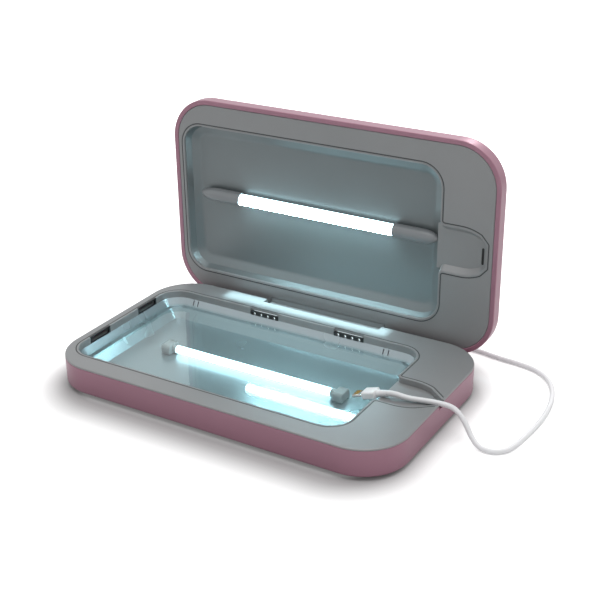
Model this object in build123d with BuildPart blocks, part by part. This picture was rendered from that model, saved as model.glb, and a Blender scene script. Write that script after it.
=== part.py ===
from build123d import *
import math
import os

# Hinged ultraviolet sanitiser box for phones, with its charging lead.
#
# Millimetres. +X points to the end where the cable leaves, +Y to the hinge and +Z up.
# The origin is on the table, under the middle of the open box. The lid stands open on
# its stop, a quarter turn from closed.
#
# Base and lid share one outline. A point of the lid is drawn at the place (x, y) that
# it covers when the lid is closed, and at its depth behind the lid's face, so both
# halves use the same sketches on base_plane() and lid_plane().

# ---- casing ----
length = 221.0
width = 131.2
corner_radius = 27.0
foot_height = 2.0
base_height = 17.0          # underside of the base casing to the deck's face
lid_thickness = 11.0
mating_gap = 0.4            # between the closed lid's face and the deck
base_wall = 1.6
base_floor = 1.6
base_bottom_fillet = 1.5
deck_edge = 1.2             # height of the deck's edge that shows above the base casing
deck_edge_fillet = 0.7
rim_chamfer = 0.4           # shadow line between a casing and its deck, on the casing ...
deck_chamfer = 0.3          # ... and on the deck
lid_wall = 3.0              # coloured rim that shows around the lid's deck
lid_back = 1.6
lid_back_fillet = 4.0
lid_rim_fillet = 0.5

# ---- hinge ----
hinge_setback = 2.6         # hinge axis to the rear face
hinge_drop = 5.8            # hinge axis below the deck's face
pin_radius = 1.0
pin_length = 12.4
running_clearance = 0.05
barrel_radius = 2.1
barrel_gap = 0.4            # barrel to the front wall of its notch
neck_front = 2.1            # axis to the neck's front face, lid closed
neck_rear = 2.3             # axis to the neck's rear face, which lands on the stop
neck_start = 1.0            # axis to the lower end of the neck's rear face
stop_gap = 0.05
notch_inset = 69.5          # ends of the casing to the notch in the deck's rear edge
block_end_gap = 0.4
ear_width = 6.4             # solid ends of the notch, which carry the pins
notch_wall = 1.5
block_reach = 5.2           # hinge axis to the front of the block's foot, on the lid's face
block_foot = 3.6
block_flange = 6.0          # flange of the foot, under the lid's deck
hinge_screws_count = 4
hinge_screw_end = 9.0       # end of the notch to the first screw
hinge_screw_radius = 0.8
hinge_screw_head = 1.3
hinge_screw_head_height = 1.0
hinge_screw_length = 6.0
hinge_boss_wall = 0.9
housing_gap = 0.1           # hinge housing to the ends of the casing's rear window

# ---- chamber: phone opening and cable tongue ----
# outside of the casing to the opening, on the left, right, front and rear
base_margins = (6.3, 33.7, 13.8, 16.4)
lid_margins = (7.3, 35.9, 17.4, 17.4)
opening_radius = 13.0
tongue_half = 14.0
tongue_root_flare = 3.0
shoulder_inset = 22.5       # right-hand end to where the tongue's parallel sides end
taper_inset = 11.0          # and to where its rounded shoulders turn into a straight taper
taper_half = 11.2
border = 3.2                # moulded frame round the chamber, under the deck
land = 1.2                  # bright lip between the chamber and its light seal
lip_chamfer = 0.3           # bright edge round the chamber
seal_groove = 0.8
seal_depth = 0.9
seal_clearance = 0.05

# ---- base deck and chamber ----
skirt_depth = 4.5
tongue_depth = 3.6
outlet_inset = 1.3          # right-hand end to where the tongue has tapered to the outlet
outlet_half = 3.3
lip_width = 1.5
lip_height = 2.0
lip_clearance = 0.15
plate_depth = 7.5           # glass plate's top, below the deck's face
plate_thickness = 1.5
plate_inset = 2.6           # chamber wall's slope, from the opening to the plate
plate_clearance = 0.3
plate_ledge = 3.0
sheet = 0.5                 # thickness of the drawn reflectors
flange = 2.8
trough_inset = 10.0
tray_seat_gap = 0.05

# ---- vents, sound ports and clips in the chamber's walls ----
vents_from_right = (109.9, 49.9)    # middles of the vents, from the opening's right-hand end
vent_width = 20.4
vent_slots = 4
vent_drop = 1.9             # top of a vent, below the deck's face
vent_proud = 0.5            # how far it stands out from the wall
vent_slot_width = 1.8
vent_slot_height = 2.2
vent_slot_drop = 3.5        # middle of a vent's slots, below the deck's face
vent_tab = 2.6              # height of the reflector's tab behind a vent
port_shares = (0.723, 0.266)    # sound ports, as shares of the opening's width from its rear
port_width = 18.6
port_opening_width = 16.0
port_opening_height = 3.2
port_opening_drop = 2.5
insert_clearance = 0.05
duct_height = 2.4
clip_from_left = 19.2       # middles of the clips, from the ends of the opening
clip_from_right = 24.2
clip_width = 3.4
clip_height = 3.0
clip_slit = 0.6

# ---- lid deck and recess ----
deck_recess = 0.2           # lid deck, below the lid's rim
lid_deck_gap = 0.1
lid_deck_plate = 1.8
lid_recess_depth = 8.0
lid_crease_depth = 5.6      # steep upper part of the recess's wall, down to its crease
lid_crease_inset = 1.8
lid_floor_inset = 7.0       # opening to the floor, at the foot of the wall's lower slope
lid_cove = 5.0
lid_tongue_depth = 3.4
lid_tongue_slope = 3.0
lid_tongue_floor = 1.0
lid_tongue_reach = 2.4      # how far the tongue's floor reaches into the recess
lid_tongue_inset = 7.2      # right-hand end to the end of the lid's tongue
lid_tongue_end_half = 6.9
slot_inset = 10.1           # and to the slot in its floor
slot_y = 1.6
slot_length = 10.4
slot_width = 1.5
slot_height = 0.9

# ---- lamps ----
lamp_from_left = 40.4       # ends of the base's opening to the lit stretch of each lamp
lamp_from_right = 33.0
lamp_seat = 4.0             # length of lamp held at each end
lid_lamp_radius = 3.5
lid_lamp_offset = 3.4       # lid's lamp, in front of the middle of the opening
lid_lamp_depth = 4.4
cover_radius = 4.2
cover_left_straight = 17.0
cover_left_length = 30.1
cover_right_straight = 18.5
cover_right_length = 28.2
lamp_clearance = 0.1
base_lamp_radius = 2.4
base_lamp_lift = 0.55       # lamp glass above the trough's floor
holder_length = 9.0
holder_width = 10.0
holder_clearance = 0.1

# ---- feet, screws, boards and ports ----
foot_radius = 6.0
foot_recess = 0.6
foot_inset = 26.5           # ends of the casing to the middles of the feet
foot_front_inset = 16.0     # and its front and rear to the same
boss_radius = 2.75
screw_radius = 1.1
screw_head_radius = 2.1
screw_head_height = 1.4
screw_length = 10.0
screw_margin = 6.0          # outside of the casing to the screws along the front
screw_rear_margin = 7.4
screw_end_margin = 13.5     # right-hand end to the screws beside the tongue
screw_from_left = 35.5
screw_spread = 43.0         # middle of the tongue to the screws beside it
shell_boss_height = 2.4
board_lift = 0.4
board_thickness = 0.8
post_radius = 1.6
main_board_size = (24.0, 48.0)
main_board_inset = 16.5     # right-hand end to the middle of the main board
main_board_y = -9.0
chip_size = (8.0, 8.0, 1.2)
chip_place = (-2.0, 12.0)   # this and the next two from the middle of the main board
capacitor_places = ((-7.0, 3.0), (7.0, 3.0))
socket_place = (7.0, 16.0)
capacitor_radius = 2.5
capacitor_height = 6.0
socket_size = (5.0, 9.0, 4.0)
driver_size = (11.0, 17.0, 6.0)
driver_offset = 10.0        # lamp driver, in front of the middle of the main board
driver_core_inset = 2.0
port_board_size = (36.0, 12.0)
port_board_setback = 8.6    # rear face to the middle of the port board
usb_inset = 48.5            # right-hand end to the charging port
usb_size = (12.9, 13.2, 4.9)
usb_mouth = (12.1, 4.1)
usb_depth = 11.0
dc_inset = 30.5             # and to the power inlet
dc_size = (7.0, 9.5, 5.6)
dc_bore = 1.9
dc_pin = 0.6
dc_depth = 8.0
port_clearance = 0.15
magnet_inset = 11.5         # right-hand end to the magnet
magnet_y = -32.0
magnet_radius = 3.0
magnet_height = 2.0
sensor_size = (5.0, 5.0, 1.2)

# ---- charging lead ----
cord_radius = 1.5
plug_nose = (12.0, 10.8, 4.0)
plug_body = (14.6, 20.0, 6.0)
plug_gap = 0.3              # between the plug's body and the casing
plug_fillet = 1.4
relief_length = 10.0
relief_start_radius = 2.5
relief_end_radius = 1.75
coil_x = 28.0
coil_setback = 45.4         # plug's face on the casing to the middle of the coil
coil_radius = 17.0          # middle of the turns
coil_layers = 2
coil_turns = 3              # in each layer
turn_pitch = 3.1
table_gap = 0.05
connector_reach = 16.8      # how far the metal tip reaches over the glass plate
connector_offset = 4.3      # lead, in front of the middle of the tongue
connector_tilt = 16.9       # degrees; the boot lies on the edge of the tongue's floor
tip_size = (6.6, 6.7, 1.5)
connector_size = (8.0, 7.8, 4.4)
connector_fillet = 1.2
connector_rest = 0.78       # end of the tip's axis, above the plate that the tip lies on
boot_length = 6.0
boot_start_radius = 2.0
boot_end_radius = 1.7

# ---- places that follow from the sizes above ----
face_reach = hinge_drop + mating_gap
centre_y = -(face_reach + lid_thickness - hinge_setback) / 2
deck_z = foot_height + base_height
rim_z = deck_z - deck_edge
floor_z = foot_height + base_floor
skirt_z = deck_z - skirt_depth
tongue_z = deck_z - tongue_depth
plate_top_z = deck_z - plate_depth
plate_seat_z = plate_top_z - plate_thickness
trough_z = floor_z + tray_seat_gap + sheet
rear_y = width / 2
hinge_y = rear_y - hinge_setback
hinge_z = deck_z - hinge_drop
sill_z = hinge_z - neck_rear - stop_gap
notch_front = hinge_y - barrel_radius - barrel_gap
housing_front = notch_front - notch_wall
notch_half = length / 2 - notch_inset
block_half = notch_half - block_end_gap
block_front = hinge_y - block_reach
hinge_screw_pitch = 2 * (notch_half - hinge_screw_end) / (hinge_screws_count - 1)
hinge_screw_places = [
    (index * hinge_screw_pitch - notch_half + hinge_screw_end, block_front - block_flange / 2)
    for index in range(hinge_screws_count)
]
right_end = length / 2
shoulder_x = right_end - shoulder_inset
taper_x = right_end - taper_inset
outlet_x = right_end - outlet_inset
lid_tongue_end = right_end - lid_tongue_inset
slot_x = right_end - slot_inset
foot_x = right_end - foot_inset
foot_y = rear_y - foot_front_inset
screw_places = [
    (screw_from_left - right_end, screw_margin - rear_y),
    (0, screw_margin - rear_y),
    (screw_from_left - right_end, rear_y - screw_rear_margin),
    (right_end - screw_end_margin, screw_spread),
    (right_end - screw_end_margin, -screw_spread),
]
usb_x = right_end - usb_inset
dc_x = right_end - dc_inset
main_board_place = (right_end - main_board_inset, main_board_y)
driver_place = (right_end - main_board_inset, main_board_y - driver_offset)
port_board_place = ((usb_x + dc_x) / 2, rear_y - port_board_setback)
magnet_place = (right_end - magnet_inset, magnet_y)
board_z = floor_z + board_lift
port_z = board_z + board_thickness + usb_size[2] / 2
base_lamp_z = trough_z + base_lamp_lift + base_lamp_radius
deck_under = deck_recess + lid_deck_plate + running_clearance
past = 1.0                  # how far a cut runs past the face that it opens

os.makedirs("parts", exist_ok=True)


def base_plane(height):
    """Level plane of the base at a height above the table."""
    return Plane(origin=(0, centre_y, height))


def lid_plane(depth):
    """Plane in the standing lid, at a depth behind its face. Its y points down."""
    return Plane(
        origin=(0, centre_y + hinge_y + face_reach + depth, hinge_z + hinge_y),
        x_dir=(1, 0, 0),
        z_dir=(0, 1, 0),
    )


def rear_plane(y, height):
    """Upright plane that faces the rear, at y from the middle of the base."""
    return Plane(origin=(0, centre_y + y, height), x_dir=(-1, 0, 0), z_dir=(0, 1, 0))


def finish_piece(piece, name):
    """Label a piece and write it to its own file."""
    piece.part.label = name
    export_step(piece.part, f"parts/{name}.step")


def casing_outline(inset=0.0, mode=Mode.ADD):
    """Rounded outline of the casing, drawn inset into the open sketch."""
    RectangleRounded(
        length - 2 * inset, width - 2 * inset, corner_radius - inset, mode=mode
    )


class Opening:
    """Phone opening of one half, with its cable tongue."""

    def __init__(self, margins, end_x, end_half):
        left, right, front, rear = margins
        self.left = left - length / 2
        self.right = length / 2 - right
        self.front = front - width / 2
        self.rear = width / 2 - rear
        self.x = (self.left + self.right) / 2
        self.y = (self.front + self.rear) / 2
        self.end_x = end_x
        self.end_half = end_half

    def outline(self, inset=0.0, mode=Mode.ADD):
        """Rounded outline of the opening, drawn inset into the open sketch."""
        with Locations((self.x, self.y)):
            RectangleRounded(
                self.right - self.left - 2 * inset,
                self.rear - self.front - 2 * inset,
                opening_radius - inset,
                mode=mode,
            )

    def tongue(self, narrow=0.0):
        """Cable tongue: flared root, parallel sides, rounded shoulders, straight taper."""
        half = tongue_half - narrow
        flare_x = self.right + tongue_root_flare
        with BuildLine() as edge:
            flare = TangentArc(
                (self.right, half + tongue_root_flare), (flare_x, half), tangent=(0, -1)
            )
            side = Line(flare @ 1, (shoulder_x, half))
            shoulder = TangentArc(side @ 1, (taper_x, taper_half - narrow), tangent=(1, 0))
            taper = Line(shoulder @ 1, (self.end_x, self.end_half - narrow / 2))
            Line(taper @ 1, (self.end_x, 0))
            mirror(about=Plane.XZ)
            Line(flare @ 0, (self.right, -half - tongue_root_flare))
        make_face(edge.edges())

    def chamber(self):
        """Opening and tongue as one outline."""
        with BuildSketch() as outline:
            self.outline()
            self.tongue()
        return outline.sketch


base_opening = Opening(base_margins, outlet_x, outlet_half)
lid_opening = Opening(lid_margins, lid_tongue_end, lid_tongue_end_half)
base_chamber = base_opening.chamber()
lid_chamber = lid_opening.chamber()

# places in the chambers' walls, and the lamps
vent_places = [base_opening.right - distance for distance in vents_from_right]
port_places = [
    base_opening.rear - share * (base_opening.rear - base_opening.front) for share in port_shares
]
clip_places = (base_opening.left + clip_from_left, base_opening.right - clip_from_right)
lamp_left = base_opening.left + lamp_from_left
lamp_right = base_opening.right - lamp_from_right
lamp_length = lamp_right - lamp_left
lamp_middle = (lamp_left + lamp_right) / 2
base_lamp_y = base_opening.y
lid_lamp_y = lid_opening.y - lid_lamp_offset


def seal_outline(outline, clearance):
    """Closed band that follows the chamber just outside its land."""
    with BuildSketch() as outer:
        add(outline)
        offset(amount=land + seal_groove - clearance)
    with BuildSketch() as inner:
        add(outline)
        offset(amount=land + clearance)
    add(outer.sketch)
    add(inner.sketch, mode=Mode.SUBTRACT)


def outlet_cut(from_x):
    """Straight channel of the cable outlet, out through the right-hand side."""
    reach = length / 2 + past - from_x
    with Locations((from_x + reach / 2, 0)):
        Rectangle(reach, 2 * outlet_half)


# ======================= base: casing =======================

with BuildPart() as base_shell:
    with BuildSketch(base_plane(foot_height)):
        casing_outline()
    extrude(amount=rim_z - foot_height)
    fillet(base_shell.faces().sort_by(Axis.Z)[0].edges(), base_bottom_fillet)
    chamfer(base_shell.faces().sort_by(Axis.Z)[-1].edges(), rim_chamfer)
    with BuildSketch(base_plane(floor_z)):
        casing_outline(base_wall)
    extrude(amount=rim_z - floor_z, mode=Mode.SUBTRACT)
    with BuildSketch(base_plane(floor_z)):
        with Locations(*screw_places):
            Circle(boss_radius + base_wall / 2)
    extrude(amount=shell_boss_height)
    # posts under the two boards
    with BuildSketch(base_plane(floor_z)):
        for board, place in (
            (main_board_size, main_board_place),
            (port_board_size, port_board_place),
        ):
            with Locations(place):
                with GridLocations(board[0] - 4 * post_radius, board[1] - 4 * post_radius, 2, 2):
                    Circle(post_radius)
    extrude(amount=board_lift)
    # screw holes with sunk heads
    with BuildSketch(base_plane(foot_height)):
        with Locations(*screw_places):
            Circle(screw_radius + running_clearance)
    extrude(amount=base_floor + shell_boss_height, mode=Mode.SUBTRACT)
    with BuildSketch(base_plane(foot_height)):
        with Locations(*screw_places):
            Circle(screw_head_radius + running_clearance)
    extrude(amount=screw_head_height, mode=Mode.SUBTRACT)
    # foot recesses
    with BuildSketch(base_plane(foot_height)):
        with GridLocations(2 * foot_x, 2 * foot_y, 2, 2):
            Circle(foot_radius + running_clearance)
    extrude(amount=foot_recess, mode=Mode.SUBTRACT)
    # cable outlet
    with BuildSketch(base_plane(tongue_z)):
        outlet_cut(length / 2 - 2 * base_wall)
    extrude(amount=tongue_depth, mode=Mode.SUBTRACT)
    # rear window for the hinge housing
    with BuildSketch(base_plane(sill_z - notch_wall)):
        with Locations((0, rear_y)):
            Rectangle(2 * (notch_half + ear_width), 4 * base_wall)
    extrude(amount=base_height, mode=Mode.SUBTRACT)
    # rear windows for the charging port and the power inlet
    with BuildSketch(rear_plane(rear_y - 2 * base_wall, port_z)):
        with Locations((-usb_x, 0)):
            Rectangle(usb_size[0] + 2 * port_clearance, usb_size[2] + 2 * port_clearance)
        with Locations((-dc_x, dc_size[2] / 2 - usb_size[2] / 2)):
            Rectangle(dc_size[0] + 2 * port_clearance, dc_size[2] + 2 * port_clearance)
    extrude(amount=3 * base_wall, mode=Mode.SUBTRACT)
finish_piece(base_shell, "base_shell")


# ======================= base: deck =======================

with BuildPart() as base_deck:
    with BuildSketch(base_plane(rim_z)):
        casing_outline()
    extrude(amount=deck_edge)
    fillet(base_deck.faces().sort_by(Axis.Z)[-1].edges(), deck_edge_fillet)
    chamfer(base_deck.faces().sort_by(Axis.Z)[0].edges(), deck_chamfer)
    # frame round the chamber; under the tongue it is the tongue's floor
    with BuildSketch(base_plane(skirt_z)):
        add(base_chamber)
        offset(amount=border)
        casing_outline(base_wall + lip_clearance, mode=Mode.INTERSECT)
    extrude(amount=rim_z - skirt_z)
    # lip that locates the deck in the casing
    with BuildSketch(base_plane(rim_z)):
        casing_outline(base_wall + lip_clearance)
        casing_outline(base_wall + lip_clearance + lip_width, mode=Mode.SUBTRACT)
    extrude(amount=-lip_height)
    # bosses for the screws that come up through the casing's floor
    with BuildSketch(base_plane(floor_z + shell_boss_height)):
        with Locations(*screw_places):
            Circle(boss_radius)
    extrude(amount=rim_z - floor_z - shell_boss_height)
    # hinge housing
    with BuildSketch(base_plane(sill_z - notch_wall)):
        with Locations((0, (housing_front + rear_y) / 2)):
            Rectangle(2 * (notch_half + ear_width - housing_gap), rear_y - housing_front)
    extrude(amount=rim_z - sill_z + notch_wall)
    # phone opening and tongue
    with BuildSketch(base_plane(skirt_z)):
        base_opening.outline()
    extrude(amount=skirt_depth, mode=Mode.SUBTRACT)
    with BuildSketch(base_plane(tongue_z)):
        add(base_chamber)
        outlet_cut(outlet_x)
    extrude(amount=tongue_depth, mode=Mode.SUBTRACT)
    with BuildSketch(base_plane(deck_z - lip_chamfer)):
        add(base_chamber)
    extrude(amount=lip_chamfer, taper=-45, mode=Mode.SUBTRACT)
    # groove for the light seal
    with BuildSketch(base_plane(deck_z)):
        seal_outline(base_chamber, 0)
        with Locations((outlet_x, 0)):
            Rectangle(2 * land, width, align=(Align.MIN, Align.CENTER), mode=Mode.SUBTRACT)
    extrude(amount=-seal_depth, mode=Mode.SUBTRACT)
    # hinge notch, open to the top and the rear
    with BuildSketch(base_plane(sill_z)):
        with Locations((0, notch_front)):
            Rectangle(2 * notch_half, width, align=(Align.CENTER, Align.MIN))
    extrude(amount=base_height, mode=Mode.SUBTRACT)
    # bores for the two hinge pins
    with BuildSketch(Plane.YZ):
        with Locations((centre_y + hinge_y, hinge_z)):
            Circle(pin_radius + running_clearance)
    extrude(amount=notch_half + pin_length / 2, both=True, mode=Mode.SUBTRACT)
    # pilot holes for the casing screws
    with BuildSketch(base_plane(floor_z + shell_boss_height)):
        with Locations(*screw_places):
            Circle(screw_radius + running_clearance)
    extrude(amount=screw_length - shell_boss_height, mode=Mode.SUBTRACT)
    # seats of the vent grilles in the rear wall, and pockets for the reflector's tabs
    with BuildSketch(base_plane(skirt_z)):
        with Locations(*[(x, base_opening.rear - past) for x in vent_places]):
            Rectangle(vent_width, land + past - insert_clearance * 2, align=(Align.CENTER, Align.MIN))
    extrude(amount=skirt_depth, mode=Mode.SUBTRACT)
    with BuildSketch(base_plane(skirt_z)):
        with Locations(*[(x, base_opening.rear) for x in vent_places]):
            Rectangle(vent_width - 2 * land, land + 2 * sheet, align=(Align.CENTER, Align.MIN))
    extrude(amount=vent_tab + sheet / 2, mode=Mode.SUBTRACT)
    # seats of the sound ports in the left-hand wall, and the ducts behind them
    with BuildSketch(base_plane(skirt_z)):
        with Locations(*[(base_opening.left + past, y) for y in port_places]):
            Rectangle(land + past - insert_clearance * 2, port_width, align=(Align.MAX, Align.CENTER))
    extrude(amount=skirt_depth, mode=Mode.SUBTRACT)
    with BuildSketch(base_plane(skirt_z + (skirt_depth - seal_depth) / 2 - duct_height / 2)):
        with Locations(*[(base_opening.left, y) for y in port_places]):
            Rectangle(border + past, port_opening_width, align=(Align.MAX, Align.CENTER))
    extrude(amount=duct_height, mode=Mode.SUBTRACT)
finish_piece(base_deck, "base_deck")


# ======================= base: reflector, plate and lamp =======================

with BuildPart() as base_reflector:
    with BuildSketch(base_plane(skirt_z)):
        base_opening.outline(-flange)
    extrude(amount=-sheet)
    # outside of the chamber wall, then of the trough below the plate's ledge
    with BuildSketch(base_plane(skirt_z)):
        base_opening.outline(-sheet)
    with BuildSketch(base_plane(plate_seat_z - sheet)):
        base_opening.outline(plate_inset - sheet)
    loft()
    with BuildSketch(base_plane(plate_seat_z - sheet)):
        base_opening.outline(plate_inset + plate_ledge - sheet)
    with BuildSketch(base_plane(trough_z - sheet)):
        base_opening.outline(trough_inset - sheet)
    loft()
    # inside of the same
    with BuildSketch(base_plane(skirt_z)):
        base_opening.outline()
    with BuildSketch(base_plane(plate_seat_z)):
        base_opening.outline(plate_inset)
    loft(mode=Mode.SUBTRACT)
    with BuildSketch(base_plane(plate_seat_z)):
        base_opening.outline(plate_inset + plate_ledge)
    with BuildSketch(base_plane(trough_z)):
        base_opening.outline(trough_inset)
    loft(mode=Mode.SUBTRACT)
    # slits beside the clip tongues in the rear wall
    with BuildSketch(base_plane(skirt_z - sheet)):
        for x in clip_places:
            with Locations((x, base_opening.rear)):
                with GridLocations(clip_width, 1, 2, 1):
                    Rectangle(clip_slit, 2 * (plate_inset + sheet))
    extrude(amount=-clip_height, mode=Mode.SUBTRACT)
    # tabs that stand up from the flange behind the vents
    with BuildSketch(base_plane(skirt_z - sheet)):
        with Locations(*[(x, base_opening.rear + land + insert_clearance) for x in vent_places]):
            Rectangle(vent_width - 3 * land, sheet, align=(Align.CENTER, Align.MIN))
    extrude(amount=vent_tab + sheet)
finish_piece(base_reflector, "base_reflector")

with BuildPart() as glass_plate:
    with BuildSketch(base_plane(plate_seat_z)):
        base_opening.outline(plate_inset + plate_clearance)
    extrude(amount=plate_thickness)
    chamfer(glass_plate.faces().sort_by(Axis.Z)[-1].edges(), plate_clearance / 2)
finish_piece(glass_plate, "glass_plate")

with BuildPart() as base_lamp:
    with BuildSketch(Plane.YZ.offset(lamp_left - lamp_seat)):
        with Locations((centre_y + base_lamp_y, base_lamp_z)):
            Circle(base_lamp_radius)
    extrude(amount=lamp_length + 2 * lamp_seat)
    fillet(base_lamp.edges().filter_by(GeomType.CIRCLE), base_lamp_radius / 3)
finish_piece(base_lamp, "base_lamp")


def lamp_holder(inner_x, outwards):
    """Moulded rubber block that holds one end of the base lamp on the trough's floor."""
    with BuildPart() as holder:
        with BuildSketch(base_plane(trough_z)):
            with Locations((inner_x + outwards * holder_length / 2, base_lamp_y)):
                Rectangle(holder_length, holder_width)
        extrude(amount=plate_seat_z - trough_z - holder_clearance)
        fillet(holder.edges().filter_by(Axis.Z), holder_width / 6)
        with BuildSketch(Plane.YZ.offset(inner_x)):
            with Locations((centre_y + base_lamp_y, base_lamp_z)):
                Circle(base_lamp_radius + lamp_clearance)
        extrude(amount=outwards * (lamp_seat + lamp_clearance), mode=Mode.SUBTRACT)
    return holder


finish_piece(lamp_holder(lamp_left, -1), "lamp_holder_left")
finish_piece(lamp_holder(lamp_right, 1), "lamp_holder_right")


# ======================= base: seal, grilles and ports in the walls =======================

with BuildPart() as base_light_seal:
    with BuildSketch(base_plane(deck_z - seal_depth)):
        seal_outline(base_chamber, seal_clearance)
        with Locations((outlet_x - seal_clearance, 0)):
            Rectangle(2 * land + seal_groove, width, align=(Align.MIN, Align.CENTER), mode=Mode.SUBTRACT)
    extrude(amount=seal_depth - seal_clearance)
finish_piece(base_light_seal, "base_light_seal")


def vent_grille(x):
    """Black comb in the rear wall of the chamber, with a row of rounded openings."""
    height = skirt_depth - vent_drop
    front = Plane(
        origin=(x, centre_y + base_opening.rear - vent_proud, skirt_z + height / 2),
        x_dir=(1, 0, 0),
        z_dir=(0, -1, 0),
    )
    with BuildPart() as grille:
        with BuildSketch(front):
            Rectangle(vent_width - 2 * insert_clearance, height)
            with Locations((0, height / 2 + vent_drop - vent_slot_drop)):
                with GridLocations(vent_width / (vent_slots + 0.25), 1, vent_slots, 1):
                    RectangleRounded(
                        vent_slot_width, vent_slot_height, vent_slot_width * 0.45, mode=Mode.SUBTRACT
                    )
        extrude(amount=-(vent_proud + land - 3 * insert_clearance))
        corners = grille.edges().filter_by(Axis.Y).group_by(Axis.X)
        fillet(corners[0] + corners[-1], vent_proud)
    return grille


finish_piece(vent_grille(vent_places[0]), "vent_grille_left")
finish_piece(vent_grille(vent_places[1]), "vent_grille_right")


def sound_port(y):
    """Black frame in the left-hand wall of the chamber, round one long opening."""
    wall = Plane(
        origin=(base_opening.left, centre_y + y, deck_z - skirt_depth / 2),
        x_dir=(0, 1, 0),
        z_dir=(1, 0, 0),
    )
    with BuildPart() as port:
        with BuildSketch(wall):
            Rectangle(port_width - 2 * insert_clearance, skirt_depth - 2 * insert_clearance)
            with Locations((0, skirt_depth / 2 - port_opening_drop)):
                RectangleRounded(
                    port_opening_width, port_opening_height, port_opening_height / 3, mode=Mode.SUBTRACT
                )
        extrude(amount=-(land - 3 * insert_clearance))
    return port


finish_piece(sound_port(port_places[0]), "sound_port_front")
finish_piece(sound_port(port_places[1]), "sound_port_rear")


# ======================= base: feet and screws =======================


def foot(x, y):
    """Round rubber foot, seated in its recess in the casing."""
    with BuildPart() as pad:
        with BuildSketch(base_plane(0)):
            with Locations((x, y)):
                Circle(foot_radius)
        extrude(amount=foot_height + foot_recess)
        chamfer(pad.faces().sort_by(Axis.Z)[0].edges(), foot_height / 4)
    return pad


finish_piece(foot(-foot_x, -foot_y), "foot_front_left")
finish_piece(foot(foot_x, -foot_y), "foot_front_right")
finish_piece(foot(-foot_x, foot_y), "foot_rear_left")
finish_piece(foot(foot_x, foot_y), "foot_rear_right")

with BuildPart() as casing_screws:
    with BuildSketch(base_plane(foot_height + running_clearance)):
        with Locations(*screw_places):
            Circle(screw_head_radius)
            RegularPolygon(screw_head_radius / 2, 6, mode=Mode.SUBTRACT)
    extrude(amount=screw_head_height - running_clearance)
    with BuildSketch(base_plane(foot_height + screw_head_height / 2)):
        with Locations(*screw_places):
            Circle(screw_radius)
    extrude(amount=screw_length)
finish_piece(casing_screws, "casing_screws")


# ======================= base: boards and ports =======================

with BuildPart() as main_board:
    with BuildSketch(base_plane(board_z)):
        with Locations(main_board_place):
            Rectangle(*main_board_size)
    extrude(amount=board_thickness)
    fillet(main_board.edges().filter_by(Axis.Z), post_radius)
    # controller chip, capacitors and the lamp leads' connector
    with BuildSketch(base_plane(board_z + board_thickness)):
        with Locations(main_board_place):
            with Locations(chip_place):
                Rectangle(chip_size[0], chip_size[1])
    extrude(amount=chip_size[2])
    with BuildSketch(base_plane(board_z + board_thickness)):
        with Locations(main_board_place):
            with Locations(*capacitor_places):
                Circle(capacitor_radius)
    extrude(amount=capacitor_height)
    with BuildSketch(base_plane(board_z + board_thickness)):
        with Locations(main_board_place):
            with Locations(socket_place):
                Rectangle(socket_size[0], socket_size[1])
    extrude(amount=socket_size[2])
finish_piece(main_board, "main_board")

with BuildPart() as lamp_driver:
    with BuildSketch(base_plane(board_z + board_thickness)):
        with Locations(driver_place):
            Rectangle(driver_size[0], driver_size[1])
    extrude(amount=driver_size[2] / 4)
    with BuildSketch(base_plane(board_z + board_thickness + driver_size[2] / 4)):
        with Locations(driver_place):
            Rectangle(driver_size[0] - driver_core_inset, driver_size[1] - 2 * driver_core_inset)
    extrude(amount=driver_size[2] / 2)
    with BuildSketch(base_plane(board_z + board_thickness + driver_size[2] * 3 / 4)):
        with Locations(driver_place):
            Rectangle(driver_size[0], driver_size[1])
    extrude(amount=driver_size[2] / 4)
finish_piece(lamp_driver, "lamp_driver")

with BuildPart() as port_board:
    with BuildSketch(base_plane(board_z)):
        with Locations(port_board_place):
            Rectangle(*port_board_size)
    extrude(amount=board_thickness)
finish_piece(port_board, "port_board")

with BuildPart() as usb_port:
    with BuildSketch(rear_plane(rear_y - plug_gap, port_z)):
        with Locations((-usb_x, 0)):
            Rectangle(usb_size[0], usb_size[2])
    extrude(amount=-usb_size[1])
    with BuildSketch(rear_plane(rear_y - plug_gap, port_z)):
        with Locations((-usb_x, 0)):
            Rectangle(*usb_mouth)
    extrude(amount=-usb_depth, mode=Mode.SUBTRACT)
finish_piece(usb_port, "usb_port")

with BuildPart() as dc_inlet:
    with BuildSketch(rear_plane(rear_y - plug_gap, board_z + board_thickness + dc_size[2] / 2)):
        with Locations((-dc_x, 0)):
            Rectangle(dc_size[0], dc_size[2])
    extrude(amount=-dc_size[1])
    with BuildSketch(rear_plane(rear_y - plug_gap, board_z + board_thickness + dc_size[2] / 2)):
        with Locations((-dc_x, 0)):
            Circle(dc_bore)
            Circle(dc_pin, mode=Mode.SUBTRACT)
    extrude(amount=-dc_depth, mode=Mode.SUBTRACT)
finish_piece(dc_inlet, "dc_inlet")

with BuildPart() as lid_sensor:
    with BuildSketch(base_plane(rim_z)):
        with Locations(magnet_place):
            Rectangle(sensor_size[0], sensor_size[1])
    extrude(amount=-sensor_size[2])
finish_piece(lid_sensor, "lid_sensor")


# ======================= hinge =======================


def hinge_pin(side):
    """Steel pin that passes from the solid end of the notch into the lid's block."""
    with BuildPart() as pin:
        with BuildSketch(Plane.YZ.offset(side * (notch_half - pin_length / 2))):
            with Locations((centre_y + hinge_y, hinge_z)):
                Circle(pin_radius)
        extrude(amount=side * (pin_length - running_clearance))
        chamfer(pin.edges().filter_by(GeomType.CIRCLE), pin_radius / 5)
    return pin


finish_piece(hinge_pin(-1), "hinge_pin_left")
finish_piece(hinge_pin(1), "hinge_pin_right")

# Profile plane of the hinge block: x is the lid's y, y is the depth behind its face.
lid_side = Plane(origin=lid_plane(0).origin, x_dir=(0, 0, -1), z_dir=(1, 0, 0))

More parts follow.
